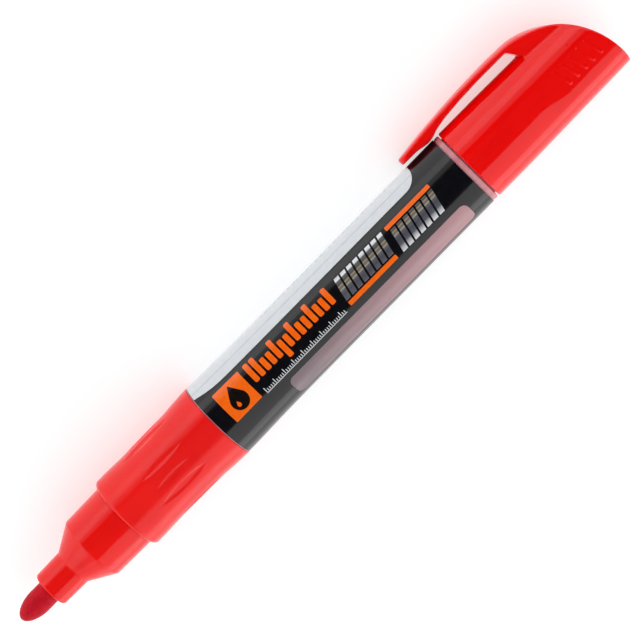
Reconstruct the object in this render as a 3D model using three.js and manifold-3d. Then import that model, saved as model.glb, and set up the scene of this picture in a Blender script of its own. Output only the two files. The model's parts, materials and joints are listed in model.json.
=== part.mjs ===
// Whiteboard marker with its cap posted on the tail, lying on its side.
// Millimetres, +Z up. The marker's axis runs along X, from the nib (low X) to the cap (high X).
// Every piece is first made in the marker's own frame: x = 0 at the nib's tip, the clip on the
// +Y side, and the printed front of the label facing +Z. The whole marker is then rolled about
// its axis until the clip leans on the table, as a marker lies when it is put down.

import * as THREE from 'three';
import { mergeVertices } from 'three/addons/utils/BufferGeometryUtils.js';
import Module from 'manifold-3d';

const wasm = await Module();
wasm.setup();

// ---- driving dimensions -------------------------------------------------------------------

const SIDES = 32;               // flats round the outer mouldings
const FINE_SIDES = 24;          // flats round the nib and its channel
const LIE_ANGLE = 22.0;         // degrees that the clip points below level when the marker lies down

const NIB_RADIUS = 2.5;
const NIB_LENGTH = 46.8;
const NIB_POINT = 4.8;          // length of the bullet-shaped writing end

const COLLAR_START = 7.85;      // the nozzle's front face, round the nib
const COLLAR_END = 14.3;
const CONE_END = 19.65;
const SEAT_RADIUS = 7.2;        // the cylinder that the cap grips when the marker is closed
const NOZZLE_FLANGE_END = 30.6;
const NOZZLE_PLUG_END = 42.0;

const GRIP_START = 28.5;
const GRIP_END = 54.0;
const GRIP_BORE = 7.15;
const GROOVE_MIDDLE = 41.8;

const BARREL_START = 30.9;
const BARREL_UNDER_GRIP = 6.95;
const LABEL_START = 54.25;
const LABEL_END = 120.55;
const LABEL_RADIUS = 8.17;
const LABEL_FLARE = 8.47;       // the label's radius where it meets the grip
const LABEL_THICKNESS = 0.15;
const LABEL_GAP = 0.1;
const RING_RADIUS = 8.05;       // the bare ring of barrel that shows in front of the cap
const SHOULDER = 121.75;        // where the barrel steps down to its tail
const TAIL_RADIUS = 7.15;
const TAIL_END = 134.4;
const CHAMBER_RADIUS = 7.05;
const TAIL_BORE = 6.25;
const FRONT_BORE = 6.05;
const BARREL_RIBS = 6;
const RIB_WIDTH = 1.0;
const RIB_TOP_RADIUS = 6.05;

const CORE_START = 42.4;
const CORE_END = 128.0;
const CORE_RADIUS = 5.6;
const FILM_RADIUS = 5.85;

const CAP_MOUTH = 122.0;
const CAP_RADIUS = 8.2;
const CAP_TAPER_START = 131;
const CAP_TAPER = 0.015;        // loss of radius for each millimetre beyond that
const CAP_BORE_END = 151.15;
const CROWN_CENTRE = [140.35, -5.5];
const CROWN_RADIUS = 17.2;      // the rounded, sloping end of the cap, seen from the side
const CLIP_TIP = 113.2;
const CLIP_TIP_WIDTH = 6.4;
const CLIP_ROOT = 142.75;
const CLIP_ROOT_WIDTH = 9.0;    // the clip goes on widening at the same rate beyond its root
const CLIP_PEAK = [137.2, 11.8];

// ---- turning, extruding and cutting -------------------------------------------------------

const radians = THREE.MathUtils.degToRad;

// A piece turned about the marker's axis from [x, radius] points. The flats are set so that one
// of them faces straight down when the marker lies on the table.
function turned(points, sides = SIDES) {
  const profile = points.map(([x, radius]) => new THREE.Vector2(radius, x));
  const flatDown = radians(LIE_ANGLE) + Math.PI / sides;
  const geometry = new THREE.LatheGeometry(profile, sides, flatDown, 2 * Math.PI);
  geometry.rotateZ(-Math.PI / 2);
  return geometry;
}

// A tube: the same, with the profile closed on itself.
function turnedTube(points, sides = SIDES) {
  return turned([...points, points[0]], sides);
}

// An outline in the plane of the clip (x along the marker, y towards the clip), made solid
// from side to side.
function acrossTheClip(shape, width, curveSegments = 8) {
  const geometry = new THREE.ExtrudeGeometry(shape, { depth: width, bevelEnabled: false, curveSegments });
  geometry.translate(0, 0, -width / 2);
  return geometry;
}

function toSolid(geometry) {
  const bare = geometry.clone();
  bare.deleteAttribute('normal');
  bare.deleteAttribute('uv');
  const merged = mergeVertices(bare, 1e-4);
  return new wasm.Manifold(new wasm.Mesh({
    numProp: 3,
    vertProperties: new Float32Array(merged.attributes.position.array),
    triVerts: new Uint32Array(merged.index.array),
  }));
}

function toGeometry(solid) {
  const { vertProperties, triVerts } = solid.getMesh();
  const geometry = new THREE.BufferGeometry();
  geometry.setAttribute('position', new THREE.BufferAttribute(vertProperties, 3));
  geometry.setIndex(new THREE.BufferAttribute(triVerts, 1));
  geometry.computeVertexNormals();
  return geometry;
}

function addAll(solid, others) {
  return others.reduce((sum, other) => sum.add(other), solid);
}

function cutAll(solid, others) {
  return others.reduce((rest, other) => rest.subtract(other), solid);
}

// ---- the pieces ---------------------------------------------------------------------------

// Pressed polyester-fibre rod with a bullet point in front and a tapered end in the reservoir.
function nib() {
  const steps = 6;
  const points = [[0, 0]];
  for (let i = 1; i <= steps; i += 1) {
    const along = (i / steps) ** 1.6;
    points.push([NIB_POINT * along, NIB_RADIUS * Math.sqrt(1 - (1 - along) ** 1.75)]);
  }
  points.push([NIB_LENGTH - 2.4, NIB_RADIUS], [NIB_LENGTH, 1.5], [NIB_LENGTH, 0]);
  return turned(points, FINE_SIDES);
}

// Nib holder: collar, cone and cap seat in front, a flange, and a plug pressed into the barrel.
function nozzle() {
  const channel = NIB_RADIUS + 0.17;
  return turnedTube([
    [COLLAR_START, channel], [COLLAR_START, 3.15], [COLLAR_START + 0.6, 3.75],
    [COLLAR_END, 3.95], [CONE_END, 7.03], [NOZZLE_FLANGE_END, SEAT_RADIUS],
    [NOZZLE_FLANGE_END, 5.85], [NOZZLE_PLUG_END - 0.8, 5.85], [NOZZLE_PLUG_END, 5.3],
    [NOZZLE_PLUG_END, 4.2], [36.0, 3.5], [16.0, 3.3], [15.0, channel],
  ]);
}

// Soft grip sleeve: slightly waisted, flaring at the back to meet the label, with groups of
// three leaf-shaped finger grooves round it: a short one between two long ones.
function grip() {
  const sleeve = turnedTube([
    [GRIP_START, 7.4], [GRIP_START, 7.65], [29.05, 8.1], [29.4, 8.21], [31.0, 8.21], [34.2, 8.12],
    [36.2, 8.06], [45.0, 8.14], [47.7, 8.18], [49.6, 8.33], [51.5, 8.43], [53.5, 8.52], [GRIP_END, 8.5],
    [GRIP_END, GRIP_BORE], [30.75, GRIP_BORE], [30.75, 7.4],
  ]);
  const groups = 4;
  const firstGroup = 7;
  const grooves = [
    { turn: -21.5, length: 10.6, width: 1.6 },
    { turn: 0, length: 8.0, width: 1.5 },
    { turn: 21.5, length: 11.7, width: 1.9 },
  ];
  const cutters = [];
  for (let group = 0; group < groups; group += 1) {
    for (const groove of grooves) {
      const leaf = new THREE.SphereGeometry(1, 8, 6);
      leaf.scale(groove.length / 2, groove.width / 2, 0.42);
      leaf.translate(GROOVE_MIDDLE, 0, 8.3);
      leaf.rotateX(radians(firstGroup + group * 360 / groups + groove.turn));
      cutters.push(toSolid(leaf));
    }
  }
  return toGeometry(cutAll(toSolid(sleeve), cutters));
}

// Outline of the label from the grip to its back edge, offset inwards by a depth.
function labelLine(depth) {
  const flare = LABEL_FLARE - LABEL_RADIUS;
  const flareShares = [[0, 1], [3.5, 0.83], [7.5, 0.5], [12.5, 0.22], [19, 0.03]];
  const line = flareShares.map(([ahead, share]) => {
    return [LABEL_START + ahead, LABEL_RADIUS + flare * share - depth];
  });
  return [...line, [LABEL_END, LABEL_RADIUS - depth]];
}

// Printed film wrapped round the barrel, with a long opening to see the ink by. Its corners are
// rounded.
function label() {
  const outer = labelLine(0);
  const inner = labelLine(LABEL_THICKNESS).reverse();
  const sleeve = toSolid(turnedTube([...outer, ...inner]));
  const windowStart = 69.35;
  const windowEnd = 116.4;
  const half = 2.5;
  const corner = 1.3;
  const outline = new THREE.Shape();
  outline.absarc(windowEnd - corner, corner - half, corner, -Math.PI / 2, 0);
  outline.absarc(windowEnd - corner, half - corner, corner, 0, Math.PI / 2);
  outline.absarc(windowStart + corner, half - corner, corner, Math.PI / 2, Math.PI);
  outline.absarc(windowStart + corner, corner - half, corner, Math.PI, 3 * Math.PI / 2);
  const cutter = new THREE.ExtrudeGeometry(outline, { depth: 4, bevelEnabled: false, curveSegments: 3 });
  cutter.translate(0, 0, 6);
  cutter.rotateX(radians(50.5));
  return toGeometry(sleeve.subtract(toSolid(cutter)));
}

// Milky polypropylene tube: thin under the grip, recessed for the label, a bare ring, then a
// narrower tail that the cap posts on. Ribs inside centre the reservoir.
function barrel() {
  const recess = labelLine(LABEL_THICKNESS + LABEL_GAP);
  const tube = turnedTube([
    [BARREL_START, FRONT_BORE], [BARREL_START, BARREL_UNDER_GRIP], [LABEL_START, BARREL_UNDER_GRIP],
    ...recess, [LABEL_END + 0.2, LABEL_RADIUS - 0.25], [LABEL_END + 0.2, RING_RADIUS],
    [SHOULDER, RING_RADIUS], [SHOULDER, TAIL_RADIUS], [TAIL_END, TAIL_RADIUS - 0.05],
    [TAIL_END, TAIL_BORE], [SHOULDER + 0.6, TAIL_BORE], [SHOULDER - 1.6, CHAMBER_RADIUS],
    [LABEL_START + 1.2, CHAMBER_RADIUS], [LABEL_START - 1.4, FRONT_BORE],
  ]);
  const ribs = [];
  for (let i = 0; i < BARREL_RIBS; i += 1) {
    const height = CHAMBER_RADIUS + 0.3 - RIB_TOP_RADIUS;
    const rib = new THREE.BoxGeometry(62, RIB_WIDTH, height);
    rib.translate(88, 0, RIB_TOP_RADIUS + height / 2);
    rib.rotateX(radians(i * 360 / BARREL_RIBS));
    ribs.push(toSolid(rib));
  }
  return toGeometry(addAll(toSolid(tube), ribs));
}

// Bonded-fibre cylinder that holds the ink, with a pocket in front for the nib's end.
function reservoirCore() {
  const pocket = NIB_RADIUS + 0.3;
  return turned([
    [CORE_END, 0], [CORE_END, CORE_RADIUS], [CORE_START, CORE_RADIUS], [CORE_START, pocket],
    [NIB_LENGTH + 0.5, pocket], [NIB_LENGTH + 0.5, 0],
  ].reverse(), FINE_SIDES);
}

// Thin plastic film wrapped round the reservoir, open at both ends.
function reservoirFilm() {
  return turnedTube([
    [CORE_START, FILM_RADIUS - 0.13], [CORE_START, FILM_RADIUS],
    [CORE_END, FILM_RADIUS], [CORE_END, FILM_RADIUS - 0.13],
  ], FINE_SIDES);
}

// Plug that closes the tail: a flange outside and a hollow skirt inside.
function tailPlug() {
  return turned([
    [133.4, 0], [133.4, 4.9], [129.4, 4.9], [129.4, 5.8], [130.0, 6.05],
    [TAIL_END + 0.25, 6.05], [TAIL_END + 0.25, 6.9], [135.6, 6.9], [135.9, 6.5], [135.9, 0],
  ]);
}

// The cap's outer radius at x: straight at first, then a slight taper.
function capRadius(x) {
  return CAP_RADIUS - CAP_TAPER * Math.max(0, x - CAP_TAPER_START);
}

// The clip in side view: a springy arm with a small bump that presses on whatever it holds,
// rooted in the closed end of the cap.
function clipOutline() {
  const shape = new THREE.Shape();
  shape.moveTo(CLIP_TIP, 9.15);
  shape.lineTo(CLIP_TIP + 0.4, 8.8);
  shape.lineTo(117.0, 8.72);
  shape.quadraticCurveTo(119.2, 8.1, 121.0, 8.55);
  shape.quadraticCurveTo(122.4, 9.2, 129.0, 9.7);
  shape.quadraticCurveTo(135.0, 10.0, CLIP_ROOT - 1.3, 9.75);
  shape.lineTo(CLIP_ROOT, 8.3);
  shape.lineTo(CLIP_ROOT, 0);
  shape.lineTo(CROWN_CENTRE[0] + CROWN_RADIUS, 0);
  shape.lineTo(CROWN_CENTRE[0] + CROWN_RADIUS, 14);
  shape.lineTo(CLIP_TIP, 14);
  return shape;
}

// The clip's arm, widening from its tip to its root. Its back is crowned: the line of its top is
// turned about the marker's axis.
function clipArm() {
  const arm = acrossTheClip(clipOutline(), 1);
  const position = arm.attributes.position;
  for (let i = 0; i < position.count; i += 1) {
    const share = (position.getX(i) - CLIP_TIP) / (CLIP_ROOT - CLIP_TIP);
    const width = THREE.MathUtils.lerp(CLIP_TIP_WIDTH, CLIP_ROOT_WIDTH, share);
    position.setZ(i, position.getZ(i) * width);
  }
  const back = turned([
    [CLIP_TIP - 1, 0], [CLIP_TIP - 1, 9.6], [CLIP_TIP, 9.8], [CLIP_TIP + 0.4, 10.1], [117.5, 10.62],
    [122.0, 11.05], [128.0, 11.5], [133.0, 11.73], CLIP_PEAK, [141.5, 11.75], [160.0, 11.6], [160.0, 0],
  ], 48);
  return toSolid(arm).intersect(toSolid(back));
}

// Side view of all the room that the cap may fill: its closed end is one large arc.
function crownOutline() {
  const shape = new THREE.Shape();
  const [x, y] = CROWN_CENTRE;
  shape.moveTo(100, -12);
  shape.lineTo(x + CROWN_RADIUS * Math.cos(radians(-20)), -12);
  shape.absarc(x, y, CROWN_RADIUS, radians(-20), radians(84));
  shape.lineTo(x - 8, 14);
  shape.lineTo(100, 14);
  return shape;
}

// Five low slanting ribs to pull the cap by, on one side of it.
function capRibs(side) {
  const ribs = [];
  for (let i = 0; i < 5; i += 1) {
    const rib = new THREE.BoxGeometry(0.5, 4.3, 4);
    rib.rotateZ(radians(15 * side));
    rib.translate(145.6 + i * 2.05, 0, side * 8);
    rib.rotateX(radians(7 * side));
    ribs.push(toSolid(rib));
  }
  const skin = toSolid(turned([
    [140, 0], [140, capRadius(140) + 0.15], [158, capRadius(158) + 0.15], [158, 0],
  ]));
  return ribs.map((rib) => rib.intersect(skin));
}

// Cap: a tapered cup with a sloping rounded end, and the clip moulded in one with it.
function cap() {
  const turnedEnd = CROWN_CENTRE[0] + CROWN_RADIUS + 1;
  const outside = toSolid(turned([
    [CAP_MOUTH, 0], [CAP_MOUTH, CAP_RADIUS - 0.25], [CAP_MOUTH + 0.3, CAP_RADIUS],
    [CAP_TAPER_START, CAP_RADIUS], [turnedEnd, capRadius(turnedEnd)], [turnedEnd, 0],
  ]));
  const inside = toSolid(turned([
    [CAP_MOUTH - 5, 0], [CAP_MOUTH - 5, 7.5], [CAP_MOUTH, 7.5], [CAP_MOUTH + 1, 7.42],
    [CAP_BORE_END, 7.2], [CAP_BORE_END, 0],
  ]));
  const crown = toSolid(acrossTheClip(crownOutline(), 30, 14));
  const body = addAll(outside, [clipArm(), ...capRibs(1), ...capRibs(-1)]);
  return toGeometry(body.intersect(crown).subtract(inside));
}

// Soft inner cap: a flange pressed into the closed end, and a tube that seals on the collar.
function capLiner() {
  return turned([
    [150.2, 0], [150.2, 4.15], [137.4, 4.15], [136.7, 4.4], [136.7, 4.95],
    [149.55, 4.95], [149.55, 7.0], [150.85, 7.0], [150.85, 0],
  ]);
}

// ---- finishes and assembly ----------------------------------------------------------------

const finishes = {
  inkedFibre: { color: 0xa50f2d, roughness: 0.85 },
  glossRed: { color: 0xe8130c, roughness: 0.28 },
  mattRed: { color: 0xe8241c, roughness: 0.6 },
  milkyPlastic: { color: 0xe6d6cf, roughness: 0.35 },
  printedFilm: { color: 0x0d0d11, roughness: 0.2 },
  pinkFibre: { color: 0xc93a5e, roughness: 0.95 },
  clearFilm: { color: 0xf2e4e6, roughness: 0.25 },
  whitePlastic: { color: 0xf3f1ea, roughness: 0.45 },
};

const pieces = [
  ['nib', nib(), finishes.inkedFibre],
  ['nozzle', nozzle(), finishes.glossRed],
  ['grip_sleeve', grip(), finishes.mattRed],
  ['barrel', barrel(), finishes.milkyPlastic],
  ['label', label(), finishes.printedFilm],
  ['reservoir_core', reservoirCore(), finishes.pinkFibre],
  ['reservoir_film', reservoirFilm(), finishes.clearFilm],
  ['tail_plug', tailPlug(), finishes.glossRed],
  ['cap', cap(), finishes.glossRed],
  ['cap_liner', capLiner(), finishes.whitePlastic],
];

const marker = new THREE.Group();
marker.rotation.x = -radians(LIE_ANGLE);
for (const [name, geometry, finish] of pieces) {
  const mesh = new THREE.Mesh(geometry, new THREE.MeshStandardMaterial({ metalness: 0, ...finish }));
  mesh.name = name;
  marker.add(mesh);
}

// The origin is on the table, under the middle of the marker.
const group = new THREE.Group();
group.add(marker);
group.updateMatrixWorld(true);
const box = new THREE.Box3().setFromObject(group, true);
marker.position.set(-(box.min.x + box.max.x) / 2, -(box.min.y + box.max.y) / 2, -box.min.z);

export default group;
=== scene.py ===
import json
import math

import bmesh
import bpy
import numpy as np
from mathutils import Matrix, Vector


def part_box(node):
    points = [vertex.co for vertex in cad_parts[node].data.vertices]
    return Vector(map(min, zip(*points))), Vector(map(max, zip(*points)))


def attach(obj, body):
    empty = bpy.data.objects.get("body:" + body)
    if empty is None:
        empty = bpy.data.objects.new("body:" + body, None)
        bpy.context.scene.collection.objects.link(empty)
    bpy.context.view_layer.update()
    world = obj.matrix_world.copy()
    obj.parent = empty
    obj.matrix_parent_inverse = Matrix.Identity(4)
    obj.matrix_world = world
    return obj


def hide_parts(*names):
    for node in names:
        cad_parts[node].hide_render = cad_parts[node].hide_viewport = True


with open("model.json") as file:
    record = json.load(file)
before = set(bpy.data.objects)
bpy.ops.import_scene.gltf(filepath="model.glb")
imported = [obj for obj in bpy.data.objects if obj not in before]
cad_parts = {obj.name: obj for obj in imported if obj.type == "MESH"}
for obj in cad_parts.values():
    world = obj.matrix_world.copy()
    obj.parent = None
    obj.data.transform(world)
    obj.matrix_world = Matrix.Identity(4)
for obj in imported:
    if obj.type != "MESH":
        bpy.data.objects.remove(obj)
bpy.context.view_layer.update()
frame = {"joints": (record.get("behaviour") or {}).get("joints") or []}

# ---- the marker's own frame --------------------------------------------------------------------
# Every piece is drawn as it is on the drawing board: millimetres from the nib's tip along x, the
# clip on the +y side and the printed front facing +z. The marker then lies down on its clip.

LIE_ANGLE = math.radians(22)
MM = 0.001
turn_joint = next(joint for joint in frame["joints"] if joint["name"] == "cap_turn")
axis_point = Vector((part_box("nib")[0].x, turn_joint["pos_m"][1], turn_joint["pos_m"][2]))
laid_down = Matrix.Translation(axis_point) @ Matrix.Rotation(-LIE_ANGLE, 4, "X") @ Matrix.Scale(MM, 4)


def direction(x, y, z):
    return (laid_down.to_3x3() @ Vector((x, y, z))).normalized()


# ---- camera ------------------------------------------------------------------------------------
# A lens a little over half a metre away, with the marker running from the lower left to the upper
# right. It stands in front of the cap's mouth and looks a few degrees back, at the barrel's middle.

CAMERA_DISTANCE = 569.07
CAMERA_LEAN = math.radians(4.0)
MARKER_SLOPE = math.radians(45.54)
FRAME_WIDTH_AT_MARKER = 121.4
SENSOR_WIDTH = 36
LEAN_FROM = 85.91
AIM_X, AIM_Y = 81.33, -0.52

camera_data = bpy.data.cameras.new("camera")
camera_data.sensor_width = SENSOR_WIDTH
camera_data.lens = SENSOR_WIDTH * CAMERA_DISTANCE / FRAME_WIDTH_AT_MARKER
camera_data.clip_start = 0.05
camera_data.clip_end = 20
camera = bpy.data.objects.new("camera", camera_data)
bpy.context.scene.collection.objects.link(camera)
bpy.context.scene.camera = camera

lens_at = laid_down @ Vector((
    LEAN_FROM + CAMERA_DISTANCE * math.sin(CAMERA_LEAN), 0, CAMERA_DISTANCE * math.cos(CAMERA_LEAN)))
aimed_at = laid_down @ Vector((AIM_X, AIM_Y, 0))
forward = (aimed_at - lens_at).normalized()
up = direction(math.sin(MARKER_SLOPE), math.cos(MARKER_SLOPE), 0)
right = forward.cross(up).normalized()
up = right.cross(forward)
camera.matrix_world = Matrix((
    (right.x, up.x, -forward.x, lens_at.x),
    (right.y, up.y, -forward.y, lens_at.y),
    (right.z, up.z, -forward.z, lens_at.z),
    (0, 0, 0, 1)))

# ---- table, backdrop and lights ----------------------------------------------------------------
# A pale opal table, lit from inside, that sweeps up into a low round backdrop. Softboxes stand
# behind the marker, low in front of it and at the nib's end, and a fill overhead stays out of the
# reflections. The gap between the first two leaves a dark band along glossy mouldings.

SWEEP_FLAT, SWEEP_CURVE, SWEEP_TOP = 2.0, 0.6, 1.1

bpy.context.scene.view_settings.view_transform = "Standard"
world = bpy.data.worlds.new("studio")
world.use_nodes = True
world.node_tree.nodes["Background"].inputs["Color"].default_value = (0.9, 0.95, 1.0, 1)
world.node_tree.nodes["Background"].inputs["Strength"].default_value = 0.025
bpy.context.scene.world = world


def studio_sweep():
    outline = [(0.4, 0.0), (0.9, 0.0), (1.5, 0.0), (SWEEP_FLAT, 0.0)]
    outline += [
        (SWEEP_FLAT + SWEEP_CURVE * math.sin(a), SWEEP_CURVE - SWEEP_CURVE * math.cos(a))
        for a in np.linspace(0.2, 1.57, 8)]
    outline += [(SWEEP_FLAT + SWEEP_CURVE, SWEEP_TOP)]
    sides = 96
    mesh = bmesh.new()
    rings = []
    for radius, height in outline:
        rings.append([
            mesh.verts.new((radius * math.cos(a), radius * math.sin(a), height))
            for a in np.linspace(0, 2 * math.pi, sides, endpoint=False)])
    mesh.faces.new(rings[0])
    for inner, outer in zip(rings, rings[1:]):
        for i in range(sides):
            mesh.faces.new((inner[i], outer[i], outer[(i + 1) % sides], inner[(i + 1) % sides]))
    data = bpy.data.meshes.new("studio_sweep")
    mesh.to_mesh(data)
    mesh.free()
    data.shade_smooth()
    sweep = bpy.data.objects.new("studio_sweep", data)
    bpy.context.scene.collection.objects.link(sweep)
    return sweep


def table_paint():
    material = bpy.data.materials.new("pale_table_paint")
    material.use_nodes = True
    nodes, links = material.node_tree.nodes, material.node_tree.links
    shader = nodes["Principled BSDF"]
    shader.inputs["Roughness"].default_value = 0.75
    shader.inputs["Specular IOR Level"].default_value = 0.2
    shader.inputs["Emission Color"].default_value = (1, 1, 1, 1)
    shader.inputs["Emission Strength"].default_value = 0.53
    place = nodes.new("ShaderNodeTexCoord")
    mottle = nodes.new("ShaderNodeTexNoise")
    mottle.inputs["Scale"].default_value = 30
    tone = nodes.new("ShaderNodeMix")
    tone.data_type = "RGBA"
    tone.inputs["A"].default_value = (0.60, 0.60, 0.605, 1)
    tone.inputs["B"].default_value = (0.63, 0.63, 0.63, 1)
    links.new(place.outputs["Object"], mottle.inputs["Vector"])
    links.new(mottle.outputs["Fac"], tone.inputs["Factor"])
    links.new(tone.outputs["Result"], shader.inputs["Base Color"])
    return material


studio_sweep().data.materials.append(table_paint())


def softbox(name, angle, distance, size, strength, in_reflections=True, to_nib=0):
    """A softbox at an angle round the marker's axis, leaning towards the nib's end (degrees)."""
    a = math.radians(angle)
    lean = math.radians(to_nib)
    towards = direction(-math.sin(lean), math.sin(a) * math.cos(lean), math.cos(a) * math.cos(lean))
    centre = Vector((0, 0, axis_point.z))
    light = bpy.data.lights.new(name, "AREA")
    light.shape = "RECTANGLE"
    light.size, light.size_y = size
    light.energy = strength * math.pi * size[0] * size[1]
    box = bpy.data.objects.new(name, light)
    box.location = centre + towards * distance
    box.rotation_mode = "QUATERNION"
    box.rotation_quaternion = towards.to_track_quat("Z", "Y")
    box.visible_glossy = in_reflections
    box.visible_camera = False
    bpy.context.scene.collection.objects.link(box)
    return box


softbox("back_softbox", -76.5, 1.5, (2.6, 2.14), 1.18)
softbox("front_softbox", 49.5, 1.5, (2.6, 0.94), 0.62)
softbox("nib_end_softbox", 0, 1.5, (2.0, 1.2), 0.3, to_nib=58)
softbox("overhead_fill", -10, 1.7, (2.2, 2.2), 1.15, in_reflections=False)

# ---- nib ---------------------------------------------------------------------------------------
# A rod of pressed polyester fibre, ground to a bullet point and soaked in ink. It is a push fit in
# the nozzle, and its tapered end sits in the reservoir.

NIB_RADIUS = 2.5
NIB_POINT = 4.8
NIB_LENGTH = 46.8
NIB_BLUNTNESS = 1.75


def rounded(points, steps=5):
    """A profile with its corners rounded: each point is (x, radius of turning, corner radius)."""
    line = []
    count = len(points)
    for i, (x, r, corner) in enumerate(points):
        here = np.array((x, r))
        if corner == 0:
            line.append((x, r))
            continue
        before = np.array(points[i - 1][:2]) - here
        after = np.array(points[(i + 1) % count][:2]) - here
        reach = min(corner, 0.49 * np.hypot(*before), 0.49 * np.hypot(*after))
        start = here + before / np.hypot(*before) * reach
        end = here + after / np.hypot(*after) * reach
        for t in np.linspace(0, 1, steps):
            line.append(tuple((1 - t) ** 2 * start + 2 * t * (1 - t) * here + t * t * end))
    return line


def finished(name, mesh, material, body, replaced=(), crease=32):
    """Lays a drawn piece down with the marker, paints it and lets it ride on its body."""
    bmesh.ops.recalc_face_normals(mesh, faces=mesh.faces)
    mesh.transform(laid_down)
    data = bpy.data.meshes.new(name)
    mesh.to_mesh(data)
    mesh.free()
    data.shade_smooth()
    data.set_sharp_from_angle(angle=math.radians(crease))
    data.materials.append(material)
    piece = bpy.data.objects.new(name, data)
    bpy.context.scene.collection.objects.link(piece)
    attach(piece, body)
    if replaced:
        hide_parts(*replaced)
    return piece


def turned(profile, sides=128, tube=False, shape=None):
    """A piece turned about the marker's axis. shape(x, radius, angle) may press its radius in."""
    mesh = bmesh.new()
    rings = []
    for x, r in profile:
        if r < 1e-6:
            rings.append([mesh.verts.new((x, 0, 0))])
            continue
        ring = []
        for k in range(sides):
            a = 2 * math.pi * k / sides
            radius = shape(x, r, a) if shape else r
            ring.append(mesh.verts.new((x, -radius * math.sin(a), radius * math.cos(a))))
        rings.append(ring)
    pairs = list(zip(rings, rings[1:]))
    if tube:
        pairs.append((rings[-1], rings[0]))
    for one, two in pairs:
        for k in range(sides):
            n = (k + 1) % sides
            corners = [one[k % len(one)], two[k % len(two)], two[n % len(two)], one[n % len(one)]]
            distinct = list(dict.fromkeys(corners))
            if len(distinct) > 2:
                mesh.faces.new(distinct)
    return mesh


def shader_material(name, roughness, **settings):
    material = bpy.data.materials.new(name)
    material.use_nodes = True
    shader = material.node_tree.nodes["Principled BSDF"]
    shader.inputs["Roughness"].default_value = roughness
    for socket, value in settings.items():
        shader.inputs[socket.replace("_", " ")].default_value = value
    return material, material.node_tree.nodes, material.node_tree.links, shader


def noise(nodes, links, scale, detail=3, stretch=(1, 1, 1), roughness=0.5):
    """Noise that stays with the piece. scale is in features per millimetre."""
    place = nodes.new("ShaderNodeTexCoord")
    mapping = nodes.new("ShaderNodeMapping")
    mapping.inputs["Scale"].default_value = [s / MM for s in stretch]
    texture = nodes.new("ShaderNodeTexNoise")
    texture.inputs["Scale"].default_value = scale
    texture.inputs["Detail"].default_value = detail
    texture.inputs["Roughness"].default_value = roughness
    links.new(place.outputs["Object"], mapping.inputs["Vector"])
    links.new(mapping.outputs["Vector"], texture.inputs["Vector"])
    return texture.outputs["Fac"]


def blended(nodes, links, share, first, second, low=0.3, high=0.7):
    """A colour between two, by a share that is first stretched between low and high."""
    spread = nodes.new("ShaderNodeMapRange")
    spread.inputs["From Min"].default_value = low
    spread.inputs["From Max"].default_value = high
    mix = nodes.new("ShaderNodeMix")
    mix.data_type = "RGBA"
    for socket, colour in (("A", first), ("B", second)):
        if isinstance(colour, tuple):
            mix.inputs[socket].default_value = (*colour, 1)
        else:
            links.new(colour, mix.inputs[socket])
    links.new(share, spread.inputs["Value"])
    links.new(spread.outputs["Result"], mix.inputs["Factor"])
    return mix.outputs["Result"]


def ranged(nodes, links, share, low, high):
    spread = nodes.new("ShaderNodeMapRange")
    spread.inputs["To Min"].default_value = low
    spread.inputs["To Max"].default_value = high
    links.new(share, spread.inputs["Value"])
    return spread.outputs["Result"]


def bumped(nodes, links, shader, height, depth, strength=1.0):
    """Bumps of a depth in millimetres."""
    bump = nodes.new("ShaderNodeBump")
    bump.inputs["Strength"].default_value = strength
    bump.inputs["Distance"].default_value = depth * MM
    links.new(height, bump.inputs["Height"])
    links.new(bump.outputs["Normal"], shader.inputs["Normal"])


def inked_fibre():
    material, nodes, links, shader = shader_material(
        "inked_fibre", 0.55, Sheen_Weight=0.02, Sheen_Roughness=0.5, Specular_IOR_Level=0.15)
    strands = noise(nodes, links, 5.0, 4, (0.25, 1, 1), 0.7)
    blots = noise(nodes, links, 0.9, 3)
    body = blended(nodes, links, blots, (0.46, 0.001, 0.010), (0.64, 0.001, 0.016))
    colour = blended(nodes, links, strands, body, (0.74, 0.03, 0.07), 0.58, 0.85)
    links.new(colour, shader.inputs["Base Color"])
    bumped(nodes, links, shader, strands, 0.09)
    return material


def nib_profile():
    point = []
    for along in np.linspace(0, 1, 22):
        x = along ** 1.6
        point.append((NIB_POINT * x, NIB_RADIUS * math.sqrt(1 - (1 - x) ** NIB_BLUNTNESS)))
    return point + rounded([(44.4, NIB_RADIUS, 0.5), (NIB_LENGTH, 1.5, 0.3), (NIB_LENGTH, 0, 0)])


finished("nib_rod", turned(nib_profile(), 96), inked_fibre(), "writing_nib", ["nib"])

# ---- nozzle ------------------------------------------------------------------------------------
# The nib holder, moulded in red polypropylene: a collar round the nib, a cone, the cylinder that
# the cap seals on, and a plug that is pressed into the front of the barrel.


def red_moulding(name, roughness, base, light):
    """Pigmented polypropylene with faint flow marks and the mould's fine tooling."""
    material, nodes, links, shader = shader_material(
        name, roughness, Specular_IOR_Level=0.42)
    flow = noise(nodes, links, 0.25, 2, (0.3, 1, 1))
    links.new(blended(nodes, links, flow, base, light, 0.35, 0.65), shader.inputs["Base Color"])
    wear = noise(nodes, links, 1.6, 4, (0.6, 1, 1))
    links.new(ranged(nodes, links, wear, roughness * 0.75, roughness * 1.25), shader.inputs["Roughness"])
    grain = noise(nodes, links, 0.35, 2)
    bumped(nodes, links, shader, grain, 0.02)
    return material


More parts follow.
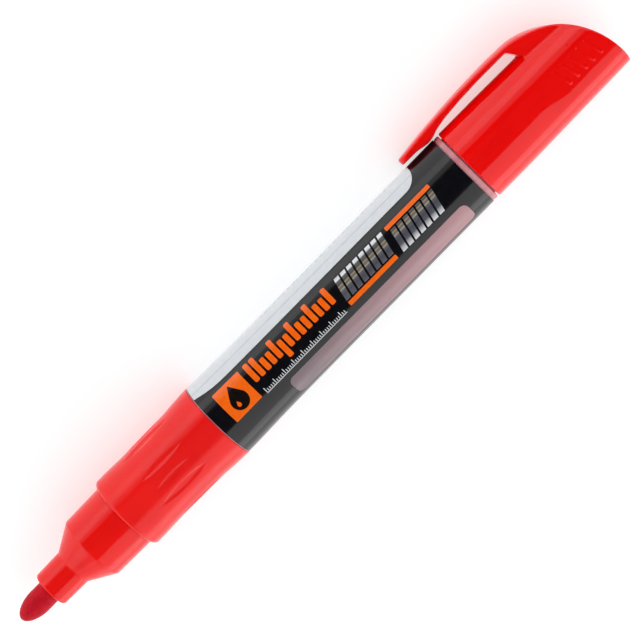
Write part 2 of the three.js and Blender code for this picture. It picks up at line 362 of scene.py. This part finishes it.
nozzle_profile = rounded([
    (7.95, 2.62, 0.12), (7.95, 3.86, 0.85), (14.3, 3.97, 0.25), (19.65, 7.05, 0.25), (30.6, 7.2, 0.1),
    (30.6, 5.85, 0.1), (42.0, 5.85, 0.6), (42.0, 4.2, 0.2), (36.0, 3.5, 0.3), (16.0, 3.3, 0.3),
    (15.0, 2.67, 0.2)])
finished(
    "nib_holder", turned(nozzle_profile, 160, tube=True),
    red_moulding("satin_red_moulding", 0.14, (0.84, 0.003, 0.002), (0.90, 0.004, 0.002)),
    "marker_body", ["nozzle"])

# ---- grip sleeve -------------------------------------------------------------------------------
# A matt red sleeve over the front of the barrel. It is slightly waisted and flares at the back.
# Groups of three leaf-shaped finger grooves, a short one between two long ones, go round it.

GROOVE_GROUPS = 4
GROOVE_DEPTH = 0.24
GROOVES = [(-15.0, 10.6, 1.3), (8.4, 9.0, 1.4), (29.0, 12.3, 2.0)]
GROOVE_MIDDLE = 41.8
GRIP_OUTSIDE = 7.9
GRIP_LINE = [
    (29.4, 8.22), (31.0, 8.22), (32.5, 8.19), (34.2, 8.12), (36.2, 8.06), (38.0, 8.08), (41.0, 8.11),
    (45.0, 8.14), (47.7, 8.18), (49.6, 8.33), (51.5, 8.43), (53.85, 8.52)]


def groove_depth(x, degrees, radius):
    """How far the finger grooves press the surface in."""
    depth = 0.0
    for group in range(GROOVE_GROUPS):
        for middle, length, width in GROOVES:
            away = (degrees - middle - group * 360 / GROOVE_GROUPS + 180) % 360 - 180
            across = math.radians(away) * radius
            along = (x - GROOVE_MIDDLE) / (length / 2)
            half = width / 2 * (1 - along * along)
            if half > 0 and abs(across) < half:
                fade = min(1, 1.6 * (1 - along * along))
                depth = max(depth, GROOVE_DEPTH * (1 - (across / half) ** 2) * fade)
    return depth


def pressed_grip(x, radius, angle):
    return radius - (groove_depth(x, math.degrees(angle), radius) if radius > GRIP_OUTSIDE else 0)


def matt_red_moulding():
    material, nodes, links, shader = shader_material(
        "matt_red_moulding", 0.2, Specular_IOR_Level=0.42)
    flow = noise(nodes, links, 0.2, 2, (0.4, 1, 1))
    colour = blended(nodes, links, flow, (0.84, 0.003, 0.002), (0.92, 0.005, 0.003), 0.35, 0.65)
    links.new(colour, shader.inputs["Base Color"])
    grain = noise(nodes, links, 4.5, 3)
    links.new(ranged(nodes, links, grain, 0.16, 0.27), shader.inputs["Roughness"])
    bumped(nodes, links, shader, grain, 0.005)
    return material


def dense(line, step):
    """A smooth line through the points, sampled every step millimetres."""
    xs, rs = np.array(line).T
    fine = np.linspace(xs[0], xs[-1], int((xs[-1] - xs[0]) / step) + 1)
    smooth = np.interp(fine, xs, rs)
    for _ in range(6):
        smooth[1:-1] = (smooth[:-2] + 2 * smooth[1:-1] + smooth[2:]) / 4
    return list(zip(fine, smooth))


grip_profile = [(28.6, 7.4), (28.6, 7.55), (28.8, 7.85), (29.08, 8.1)] + dense(GRIP_LINE, 0.2)
grip_profile += rounded([(54.0, 8.5, 0.12), (54.0, 7.15, 0.1), (30.75, 7.15, 0.1), (30.75, 7.4, 0.1)])
finished(
    "finger_grip", turned(grip_profile, 288, tube=True, shape=pressed_grip), matt_red_moulding(),
    "marker_body", ["grip_sleeve"], crease=40)

# ---- barrel ------------------------------------------------------------------------------------
# A milky polypropylene tube: thin under the grip, recessed for the label, then the bare ring in
# front of the cap and the narrower tail that the cap posts on. Ink has stained it pink.

LABEL_START, LABEL_END = 54.25, 120.55
LABEL_RADIUS, LABEL_FLARE = 8.17, 8.47
LABEL_FILM = 0.15
LABEL_GAP = 0.1
FLARE_REACH, FLARE_POWER = 7.2, 2.4


def label_radius(x):
    ahead = max(x - LABEL_START, 0)
    return LABEL_RADIUS + (LABEL_FLARE - LABEL_RADIUS) / (1 + (ahead / FLARE_REACH) ** FLARE_POWER)


def milky_plastic():
    material, nodes, links, shader = shader_material(
        "milky_plastic", 0.3, Transmission_Weight=0.2, IOR=1.49)
    haze = noise(nodes, links, 0.3, 3, (0.2, 1, 1))
    colour = blended(nodes, links, haze, (0.70, 0.21, 0.25), (0.80, 0.42, 0.42))
    links.new(colour, shader.inputs["Base Color"])
    lines = noise(nodes, links, 1.2, 2, (0.05, 1, 1))
    bumped(nodes, links, shader, lines, 0.02)
    return material


barrel_profile = rounded([
    (30.9, 6.05, 0.1), (30.9, 6.95, 0.2), (54.06, 6.95, 0.1), (54.06, 8.47, 0.04), (54.2, 8.47, 0.04),
    (54.2, 8.2, 0)])
barrel_profile += [(x, label_radius(x) - LABEL_FILM - LABEL_GAP) for x in np.linspace(LABEL_START, 80, 14)]
barrel_profile += rounded([
    (120.75, LABEL_RADIUS - 0.25, 0), (120.75, 8.05, 0.08), (121.75, 8.05, 0.25), (121.75, 7.15, 0.15),
    (134.4, 7.1, 0.25), (134.4, 6.25, 0.1), (122.6, 6.25, 0.4), (120.4, 7.05, 0.5), (55.45, 7.05, 0.5),
    (52.85, 6.05, 0.4)])
finished(
    "barrel_tube", turned(barrel_profile, 160, tube=True), milky_plastic(),
    "marker_body", ["barrel"])

# ---- reservoir ---------------------------------------------------------------------------------
# Bonded fibre soaked in ink, in a thin wrap of clear film. It fills the barrel up to the nib's
# tapered end, and shows faintly through the plastic.


def stained_fibre():
    material, nodes, links, shader = shader_material("stained_fibre", 0.8, Sheen_Weight=0.1)
    strands = noise(nodes, links, 2.5, 3, (0.05, 1, 1))
    soak = noise(nodes, links, 0.08, 2)
    body = blended(nodes, links, soak, (0.62, 0.03, 0.13), (0.75, 0.07, 0.20))
    links.new(blended(nodes, links, strands, body, (0.85, 0.25, 0.38), 0.5, 0.8), shader.inputs["Base Color"])
    bumped(nodes, links, shader, strands, 0.05)
    return material


def clear_wrap():
    material, nodes, links, shader = shader_material(
        "clear_wrap", 0.12, Transmission_Weight=0.95, IOR=1.3)
    creases = noise(nodes, links, 0.5, 3, (0.3, 1, 1))
    colour = blended(nodes, links, creases, (0.95, 0.80, 0.84), (0.98, 0.88, 0.90))
    links.new(colour, shader.inputs["Base Color"])
    bumped(nodes, links, shader, creases, 0.05)
    return material


core_profile = rounded([
    (128.0, 0, 0), (128.0, 5.6, 0.4), (42.4, 5.6, 0.4), (42.4, 2.8, 0.2), (47.3, 2.8, 0.2), (47.3, 0, 0)])
finished(
    "fibre_core", turned(core_profile, 96), stained_fibre(), "marker_body", ["reservoir_core"])
wrap_profile = [(42.4, 5.72), (42.4, 5.85), (128.0, 5.85), (128.0, 5.72)]
finished(
    "core_wrap", turned(wrap_profile, 96, tube=True), clear_wrap(),
    "marker_body", ["reservoir_film"])

# ---- tail plug ---------------------------------------------------------------------------------
# A red polypropylene plug with a flange, pressed into the tail after filling. The posted cap
# hides it.

plug_profile = rounded([
    (133.4, 0, 0), (133.4, 4.9, 0.2), (129.4, 4.9, 0.1), (129.4, 6.05, 0.5), (134.65, 6.05, 0.05),
    (134.65, 6.9, 0.15), (135.9, 6.9, 0.4), (135.9, 3.2, 0.15), (135.5, 2.9, 0.15), (135.5, 0, 0)])
finished(
    "end_plug", turned(plug_profile, 128), bpy.data.materials["satin_red_moulding"],
    "marker_body", ["tail_plug"])

# ---- label -------------------------------------------------------------------------------------
# A glossy plastic film wrapped round the barrel and printed black, with a clear strip left
# unprinted so that the ink can be seen. White, orange and silver inks are printed on the black.

WINDOW = (69.35, 116.42, 31.8, 68.2)
WINDOW_CORNER = 1.3


def wrapped(outlines, inner, outer, holes=()):
    """A thin plate laid round the label, from outlines of (x, degrees from the printed front)."""
    mesh = bmesh.new()
    edges = []
    for outline in [*outlines, *holes]:
        verts = [mesh.verts.new((x, a, 0)) for x, a in outline]
        edges += [mesh.edges.new((verts[i - 1], verts[i])) for i in range(len(verts))]
    bmesh.ops.triangle_fill(mesh, edges=edges, use_beauty=True, use_dissolve=False)
    xs = [v.co.x for v in mesh.verts]
    angles = [v.co.y for v in mesh.verts]
    cuts = [((0, a, 0), (0, 1, 0)) for a in np.arange(-180, 180, 3.0) if min(angles) < a < max(angles)]
    cuts += [((x, 0, 0), (1, 0, 0)) for x in np.arange(LABEL_START, 82, 1.5) if min(xs) < x < max(xs)]
    for point, normal in cuts:
        everything = mesh.verts[:] + mesh.edges[:] + mesh.faces[:]
        bmesh.ops.bisect_plane(mesh, geom=everything, dist=1e-5, plane_co=point, plane_no=normal)
    bmesh.ops.dissolve_limit(mesh, angle_limit=1e-3, verts=[], edges=[])
    grown = bmesh.ops.extrude_face_region(mesh, geom=mesh.faces[:])
    top = {v for v in grown["geom"] if isinstance(v, bmesh.types.BMVert)}
    for vert in mesh.verts:
        x, a = vert.co.x, math.radians(vert.co.y)
        radius = label_radius(x) + (outer if vert in top else inner)
        vert.co = (x, -radius * math.sin(a), radius * math.cos(a))
    bmesh.ops.remove_doubles(mesh, verts=mesh.verts, dist=1e-4)
    return mesh


def round_cornered(start, end, low, high, corner, steps=6):
    """Outline of a patch on the label with rounded corners of a radius in millimetres."""
    turn = math.degrees(corner / LABEL_RADIUS)
    outline = []
    for x, a, first in ((end, high, 0), (start, high, 90), (start, low, 180), (end, low, 270)):
        middle_x = x - corner if x == end else x + corner
        middle_a = a - turn if a == high else a + turn
        for t in np.radians(np.linspace(first, first + 90, steps)):
            outline.append((middle_x + corner * math.cos(t), middle_a + turn * math.sin(t)))
    return outline


def film_material(name, first, second, roughness=0.12):
    """Ink under a glossy film, with the faint waves of a film shrunk on to a tube."""
    material, nodes, links, shader = shader_material(name, roughness, Specular_IOR_Level=0.5)
    ink = noise(nodes, links, 0.8, 4)
    links.new(blended(nodes, links, ink, first, second), shader.inputs["Base Color"])
    handling = noise(nodes, links, 1.1, 4)
    links.new(ranged(nodes, links, handling, roughness * 0.75, roughness * 1.4), shader.inputs["Roughness"])
    waves = noise(nodes, links, 0.16, 2, (0.5, 1, 1))
    bumped(nodes, links, shader, waves, 0.03)
    return material, nodes, links, shader


def printed(name, outlines, material, layer=1):
    """A patch of ink on the film. Each layer lies on the one before."""
    mesh = wrapped(outlines, -0.02, 0.012 * layer)
    return finished(name, mesh, material, "marker_body")


black_film, *_ = film_material("black_film", (0.003, 0.003, 0.0045), (0.005, 0.005, 0.007))
sheet_edge = [(LABEL_START, -180), (LABEL_END, -180), (LABEL_END, 180), (LABEL_START, 180)]
finished(
    "label_film", wrapped([sheet_edge], -LABEL_FILM, 0, [round_cornered(*WINDOW, WINDOW_CORNER)]),
    black_film, "marker_body", ["label"])


def clear_film():
    """Clear film over milky plastic, stained more by the ink towards the cap."""
    material, nodes, links, shader = shader_material("clear_film", 0.2, Transmission_Weight=0.45, IOR=1.45)
    place = nodes.new("ShaderNodeTexCoord")
    parts = nodes.new("ShaderNodeSeparateXYZ")
    along = nodes.new("ShaderNodeMapRange")
    along.inputs["From Min"].default_value = (laid_down @ Vector((WINDOW[0], 0, 0))).x
    along.inputs["From Max"].default_value = (laid_down @ Vector((WINDOW[1], 0, 0))).x
    links.new(place.outputs["Object"], parts.inputs["Vector"])
    links.new(parts.outputs["X"], along.inputs["Value"])
    stain = blended(nodes, links, along.outputs["Result"], (0.34, 0.25, 0.28), (0.74, 0.40, 0.43), 0.1, 1.0)
    smear = noise(nodes, links, 0.5, 3, (0.15, 1, 1))
    links.new(blended(nodes, links, smear, stain, (0.60, 0.42, 0.45), 0.45, 1.1), shader.inputs["Base Color"])
    bumped(nodes, links, shader, noise(nodes, links, 0.16, 2, (0.5, 1, 1)), 0.04)
    return material


DEGREES_PER_MM = 7               # turn of the label for each millimetre round it
pane_gap = 0.02
pane = round_cornered(
    WINDOW[0] + pane_gap, WINDOW[1] - pane_gap,
    WINDOW[2] + pane_gap * DEGREES_PER_MM, WINDOW[3] - pane_gap * DEGREES_PER_MM, WINDOW_CORNER)
finished("ink_window", wrapped([pane], -LABEL_FILM, 0), clear_film(), "marker_body")

# The white panel for handwriting wraps round the back on the clip side, and ends in a large round
# corner under the clip's tip. A thin grey line and a row of grey dashes run along it.
white_ink, *_ = film_material("white_ink", (0.65, 0.68, 0.71), (0.70, 0.73, 0.76))
grey_ink, *_ = film_material("grey_ink", (0.54, 0.56, 0.59), (0.61, 0.63, 0.66))


def panel_outline():
    front = [
        (LABEL_START + 0.05, -43.3), (55.7, -40.5), (56.9, -38.3), (58.55, -36.4), (60.45, -35.5),
        (63.0, -35.4)]
    turns = np.radians(np.linspace(90, 0, 12))
    rear = [(110.3 + 3.2 * math.cos(t), -62.4 + 27 * math.sin(t)) for t in turns]
    return front + rear + [(113.5, -150), (LABEL_START + 0.05, -150)]


printed("white_panel", [panel_outline()], white_ink)
printed("panel_line", [[(54.5, -53.3), (113.0, -53.3), (113.0, -51.1), (54.5, -51.1)]], grey_ink, 2)
dashes = []
DASH_COUNT, DASH_PITCH = 31, 1.24
for i in range(DASH_COUNT):
    start = 72.5 + i * DASH_PITCH
    width = 0.35 + 0.3 * (i % 3)
    dashes.append([(start, -80), (start + width, -80), (start + width, -72.5), (start, -72.5)])
printed("panel_dashes", dashes, grey_ink, 2)

# Orange ink: a square with an ink drop on it, a row of upright strokes and two thin bars.
orange_ink, *_ = film_material("orange_ink", (0.93, 0.125, 0.002), (1.0, 0.16, 0.004))
drop_ink, *_ = film_material("drop_ink", (0.004, 0.003, 0.003), (0.010, 0.006, 0.005))
printed("orange_square", [round_cornered(57.3, 64.05, -27.5, 20.5, 0.12)], orange_ink)


def drop_outline(middle, across, radius, point):
    """An ink drop: a round belly, drawn out to a point towards the clip."""
    turns = np.radians(np.linspace(-33, 213, 30))
    belly = [(middle + radius * math.cos(t), radius * math.sin(t)) for t in turns]
    outline = [*belly, (middle, -point)]
    return [(x, across + math.degrees(y / LABEL_RADIUS)) for x, y in outline]


printed("ink_drop", [drop_outline(60.68, 2.3, 1.9, 3.55)], drop_ink, 2)
printed("drop_glint", [drop_outline(60.05, 6.0, 0.42, 0.8)], orange_ink, 3)
stroke_tops = [-27.5, -27.5, -17, -17, -27.5, -17, -17, -27.5, -17, -17, -27.5, -17, -17, -24.5]
STROKE_FROM, STROKE_PITCH, STROKE_WIDTH = 65.2, 1.566, 1.12
strokes = []
for i, top in enumerate(stroke_tops):
    start = STROKE_FROM + i * STROKE_PITCH
    foot = 10.5 if i == 5 else 2
    strokes.append(round_cornered(start, start + STROKE_WIDTH, top, foot, 0.3, 4))
printed("orange_strokes", strokes, orange_ink)
printed("orange_bars", [
    round_cornered(87.97, 100.6, 13.4, 20.1, 0.2),
    round_cornered(102.5, 114.1, -21.8, -15.7, 0.2)], orange_ink)

# A fine white scale under the strokes, like a rule.
ticks = [[(65.2, 21.6), (86.6, 21.6), (86.6, 22.6), (65.2, 22.6)]]
TICK_COUNT, TICK_PITCH = 43, 0.5
for i in range(TICK_COUNT):
    start = 65.25 + i * TICK_PITCH
    top = 13.4 if i % 5 == 0 else 17.0
    ticks.append([(start, top), (start + 0.17, top), (start + 0.17, 21.0), (start, 21.0)])
printed("white_scale", ticks, white_ink)


def silver_ink_painted_reflection():
    """Silver ink with a painted reflection: light and dark stripes across the marker's height stand in for
    the studio's softboxes mirrored in a metallic ink.
    """
    material, nodes, links, shader = film_material("silver_ink_painted_reflection", (0.9, 0.9, 0.9), (1.0, 1.0, 1.0), 0.2)
    place = nodes.new("ShaderNodeTexCoord")
    own = nodes.new("ShaderNodeMapping")
    own.vector_type = "TEXTURE"
    own.inputs["Location"].default_value = axis_point
    own.inputs["Rotation"].default_value = (-LIE_ANGLE, 0, 0)
    own.inputs["Scale"].default_value = (MM, MM, MM)
    parts = nodes.new("ShaderNodeSeparateXYZ")
    height = nodes.new("ShaderNodeMapRange")
    height.inputs["From Min"].default_value = 3.0
    height.inputs["From Max"].default_value = -2.8
    # Painted reflection: the light, dark and brownish stripes of this ramp stand in for the softboxes and the
    # table mirrored in metallic ink. The ink itself is not metallic, and the noise below adds real wear.
    painted_reflection_bands = nodes.new("ShaderNodeValToRGB")
    reflection_stops = [
        (0.0, (0.84, 0.86, 0.90)), (0.11, (0.78, 0.80, 0.84)), (0.14, (0.13, 0.12, 0.11)),
        (0.27, (0.09, 0.085, 0.08)), (0.30, (0.42, 0.34, 0.22)), (0.33, (0.14, 0.13, 0.12)),
        (0.40, (0.20, 0.18, 0.15)), (0.42, (0.46, 0.39, 0.27)), (0.46, (0.11, 0.11, 0.13)),
        (0.60, (0.07, 0.07, 0.09)), (0.76, (0.10, 0.10, 0.12)), (0.82, (0.30, 0.31, 0.33)),
        (0.90, (0.55, 0.56, 0.58)), (1.0, (0.80, 0.81, 0.83))]
    ramp = painted_reflection_bands.color_ramp
    ramp.elements[0].position, ramp.elements[1].position = reflection_stops[0][0], reflection_stops[-1][0]
    for position, _ in reflection_stops[1:-1]:
        ramp.elements.new(position)
    for element, (_, colour) in zip(ramp.elements, reflection_stops):
        element.color = (*colour, 1)
    links.new(place.outputs["Object"], own.inputs["Vector"])
    links.new(own.outputs["Vector"], parts.inputs["Vector"])
    links.new(parts.outputs["Y"], height.inputs["Value"])
    links.new(height.outputs["Result"], painted_reflection_bands.inputs["Fac"])
    brushed = noise(nodes, links, 1.5, 3, (0.1, 1, 1))
    wear_and_reflection = blended(nodes, links, brushed, painted_reflection_bands.outputs["Color"], (0.16, 0.16, 0.18), 0.5, 1.2)
    links.new(wear_and_reflection, shader.inputs["Base Color"])
    return material


SILVER_LEAN = 0.034


def slanted(start, count, pitch, width, low, high):
    """A row of leaning strokes, all parallel."""
    lean = SILVER_LEAN * (high - low)
    rows = []
    for i in range(count):
        x = start + i * pitch
        rows.append([(x + lean, low), (x + lean + width, low), (x + width, high), (x, high)])
    return rows


SILVER_PITCH, SILVER_WIDTH = 1.622, 1.2
silver_rows = slanted(88.0, 8, SILVER_PITCH, SILVER_WIDTH, -21.3, 10.9)
silver_rows += slanted(102.0, 7, SILVER_PITCH, SILVER_WIDTH, -13.5, 19.6)
printed("silver_strokes", silver_rows, silver_ink_painted_reflection())

# ---- cap ---------------------------------------------------------------------------------------
# One glossy red polypropylene moulding: a cup whose closed end slopes in one large arc, with a
# springy clip growing out of that end. Its sides are pressed flatter at the ribs to pull it by.

CAP_MOUTH = 122.0
CAP_BORE_END = 151.15
CROWN_X, CROWN_Y, CROWN_RADIUS = 140.35, -5.5, 17.2
CAP_RADIUS, CAP_TAPER_START, CAP_TAPER = 8.2, 131, 0.015
CLIP_TIP, CLIP_ROOT = 113.2, 142.75
CLIP_TIP_HALF, CLIP_ROOT_HALF = 3.2, 4.5
CLIP_PEAK, CLIP_TOP = 137.2, 11.67
CLIP_FALL_TO_TIP, CLIP_FALL_TO_ROOT = 0.0025, 0.0003
CLIP_UNDERSIDE = [
    (110.0, 8.80), (117.2, 8.72), (118.6, 8.40), (119.8, 8.24), (121.0, 8.42), (122.4, 8.95), (125.0, 9.38),
    (129.0, 9.70), (134.0, 9.87), (139.0, 9.84), (160.0, 9.8)]
CLIP_GAP_END = (141.75, 9.7)
RIB_COUNT, RIB_PITCH = 5, 2.03
RIB_FROM, RIB_TO = (145.2, -6.0), (146.15, 21.6)
RIB_HALF_WIDTH, RIB_HEIGHT = 0.34, 0.10
PRESS_DEPTH = 0.45
CAP_STEP = 0.2


def soft_max(a, b, blend):
    """The larger of two distances, with the edge between them rounded."""
    near = np.maximum(blend - np.abs(a - b), 0)
    return np.maximum(a, b) + near * near / (4 * blend)


def soft_min(a, b, blend):
    return -soft_max(-a, -b, blend)


def eased(share):
    share = np.clip(share, 0, 1)
    return share * share * (3 - 2 * share)


def cup_radius(x, y, z):
    """Outer radius of the cup, pressed in at its sides and raised along the ribs."""
    away = np.degrees(np.arctan2(-y, np.abs(z)))
    pressed = PRESS_DEPTH * eased((x - 137) / 8) * eased((45 - away) / 28) * eased((away + 75) / 60)
    radius = CAP_RADIUS - CAP_TAPER * np.maximum(x - CAP_TAPER_START, 0) - pressed
    share = np.clip((away - RIB_FROM[1]) / (RIB_TO[1] - RIB_FROM[1]), 0, 1)
    rib_x = RIB_FROM[0] + share * (RIB_TO[0] - RIB_FROM[0])
    nearest = np.clip(np.round((x - rib_x) / RIB_PITCH), 0, RIB_COUNT - 1)
    beyond = np.radians(away - RIB_FROM[1] - share * (RIB_TO[1] - RIB_FROM[1])) * 8
    off = np.hypot(x - rib_x - nearest * RIB_PITCH, beyond) / RIB_HALF_WIDTH
    return radius + RIB_HEIGHT * np.maximum(1 - off * off, 0)


def clip_distance(x, y, z, from_axis):
    behind_peak = np.where(x < CLIP_PEAK, CLIP_FALL_TO_TIP, CLIP_FALL_TO_ROOT)
    back = from_axis - (CLIP_TOP - behind_peak * (x - CLIP_PEAK) ** 2)
    half = CLIP_TIP_HALF + (CLIP_ROOT_HALF - CLIP_TIP_HALF) * (x - CLIP_TIP) / (CLIP_ROOT - CLIP_TIP)
    plan = soft_max(np.abs(z) - half, CLIP_TIP - x, 2.4)
    underside_x, underside_y = np.array(dense(CLIP_UNDERSIDE, 0.25)).T
    above_gap = y - np.interp(x, underside_x, underside_y)
    before_root = 0.828 * (x - CLIP_GAP_END[0]) + 0.561 * (y - CLIP_GAP_END[1])
    gap = soft_max(above_gap, before_root, 0.35)
    solid = soft_max(soft_max(back, plan, 0.45), -gap, 0.35)
    return soft_max(solid, 4 - y, 0.1)


def cap_distance(x, y, z):
    """Distance to the cap's surface in millimetres, negative inside the plastic."""
    from_axis = np.hypot(y, z)
    cup = soft_max(from_axis - cup_radius(x, y, z), CAP_MOUTH - x, 0.35)
    outside = soft_min(cup, clip_distance(x, y, z, from_axis), 0.6)
    across = z * z * (1 / 26 * eased((153.5 - x) / 9) + 1 / 200)
    crown = np.hypot(np.maximum(x - CROWN_X, 0), y - CROWN_Y) - CROWN_RADIUS + across
    crown = np.where(x < CROWN_X, crown - 0.15 * (CROWN_X - x), crown)
    outside = soft_max(outside, crown, 0.4)
    bore_radius = 7.42 - 0.0075 * (x - CAP_MOUTH - 1) + 0.11 * np.maximum(CAP_MOUTH + 1 - x, 0)
    bore = soft_max(from_axis - bore_radius, x - CAP_BORE_END, 0.6)
    return soft_max(outside, -bore, 0.15)


def shell_of(distance, low, high, step):
    """A fine mesh on the surface where distance(x, y, z) is zero."""
    axes = [np.arange(lo, hi + step, step) for lo, hi in zip(low, high)]
    value = distance(*np.meshgrid(*axes, indexing="ij"))
    cells = tuple(n - 1 for n in value.shape)
    corner = np.array([(i, j, k) for i in (0, 1) for j in (0, 1) for k in (0, 1)])
    at = [value[i:i + cells[0], j:j + cells[1], k:k + cells[2]] for i, j, k in corner]
    total = np.zeros((*cells, 3))
    count = np.zeros(cells)
    for one in range(8):
        for two in range(one + 1, 8):
            if np.abs(corner[one] - corner[two]).sum() == 1:
                crosses = (at[one] < 0) != (at[two] < 0)
                share = np.where(crosses, at[one] / np.where(crosses, at[one] - at[two], 1), 0)
                total += crosses[..., None] * (corner[one] + share[..., None] * (corner[two] - corner[one]))
                count += crosses
    active = count > 0
    index = np.full(cells, -1)
    index[active] = np.arange(active.sum())
    origin = np.array([a[0] for a in axes])
    points = origin + step * (np.argwhere(active) + total[active] / count[active][:, None])
    faces = []
    for axis in range(3):
        one, two = [a for a in range(3) if a != axis]
        here = np.take(value, range(cells[axis]), axis)
        there = np.take(value, range(1, cells[axis] + 1), axis)
        places = np.argwhere((here < 0) != (there < 0))
        places = places[(places[:, one] > 0) & (places[:, two] > 0)]
        starts = here[tuple(places.T)] < 0
        around = []
        for back_one, back_two in ((0, 0), (1, 0), (1, 1), (0, 1)):
            cell = places.copy()
            cell[:, one] -= back_one
            cell[:, two] -= back_two
            around.append(index[tuple(cell.T)])
        quads = np.array(around).T
        flipped = starts if axis == 1 else ~starts
        quads[flipped] = quads[flipped][:, ::-1]
        faces.append(quads)
    for _ in range(4):
        slope = np.stack([
            (distance(*(points + 0.01 * e).T) - distance(*(points - 0.01 * e).T)) / 0.02
            for e in np.eye(3)], 1)
        points -= slope * (distance(*points.T) / np.maximum((slope * slope).sum(1), 0.25))[:, None]
    mesh = bmesh.new()
    verts = [mesh.verts.new(p) for p in points]
    for quad in np.concatenate(faces):
        mesh.faces.new([verts[i] for i in quad])
    return mesh


cap_gloss = red_moulding("gloss_red_moulding", 0.1, (0.87, 0.0015, 0.0010), (0.92, 0.0022, 0.0015))
finished(
    "clip_cap_shell", shell_of(cap_distance, (112.0, -9.0, -9.0), (158.6, 12.6, 9.0), CAP_STEP), cap_gloss,
    "clip_cap", ["cap"], crease=60)

# ---- inner cap ---------------------------------------------------------------------------------
# A soft natural polyethylene liner pressed into the closed end of the cap. Its tube closes round
# the nozzle's collar, so that the nib can't dry out.


def natural_polyethylene():
    material, nodes, links, shader = shader_material(
        "natural_polyethylene", 0.42, Subsurface_Weight=0.35, Subsurface_Radius=(0.001, 0.0009, 0.0007),
        Subsurface_Scale=1.0)
    cloud = noise(nodes, links, 0.4, 3)
    colour = blended(nodes, links, cloud, (0.82, 0.80, 0.73), (0.88, 0.86, 0.80))
    links.new(colour, shader.inputs["Base Color"])
    bumped(nodes, links, shader, noise(nodes, links, 3.0, 3), 0.02)
    return material


liner_profile = rounded([
    (150.2, 0, 0), (150.2, 4.15, 0.3), (137.4, 4.15, 0.1), (136.7, 4.4, 0.1), (136.7, 4.95, 0.12),
    (149.55, 4.95, 0.4), (149.55, 7.0, 0.15), (150.85, 7.0, 0.3), (150.85, 0, 0)])
finished(
    "inner_cap_liner", turned(liner_profile, 128), natural_polyethylene(), "inner_cap",
    ["cap_liner"])
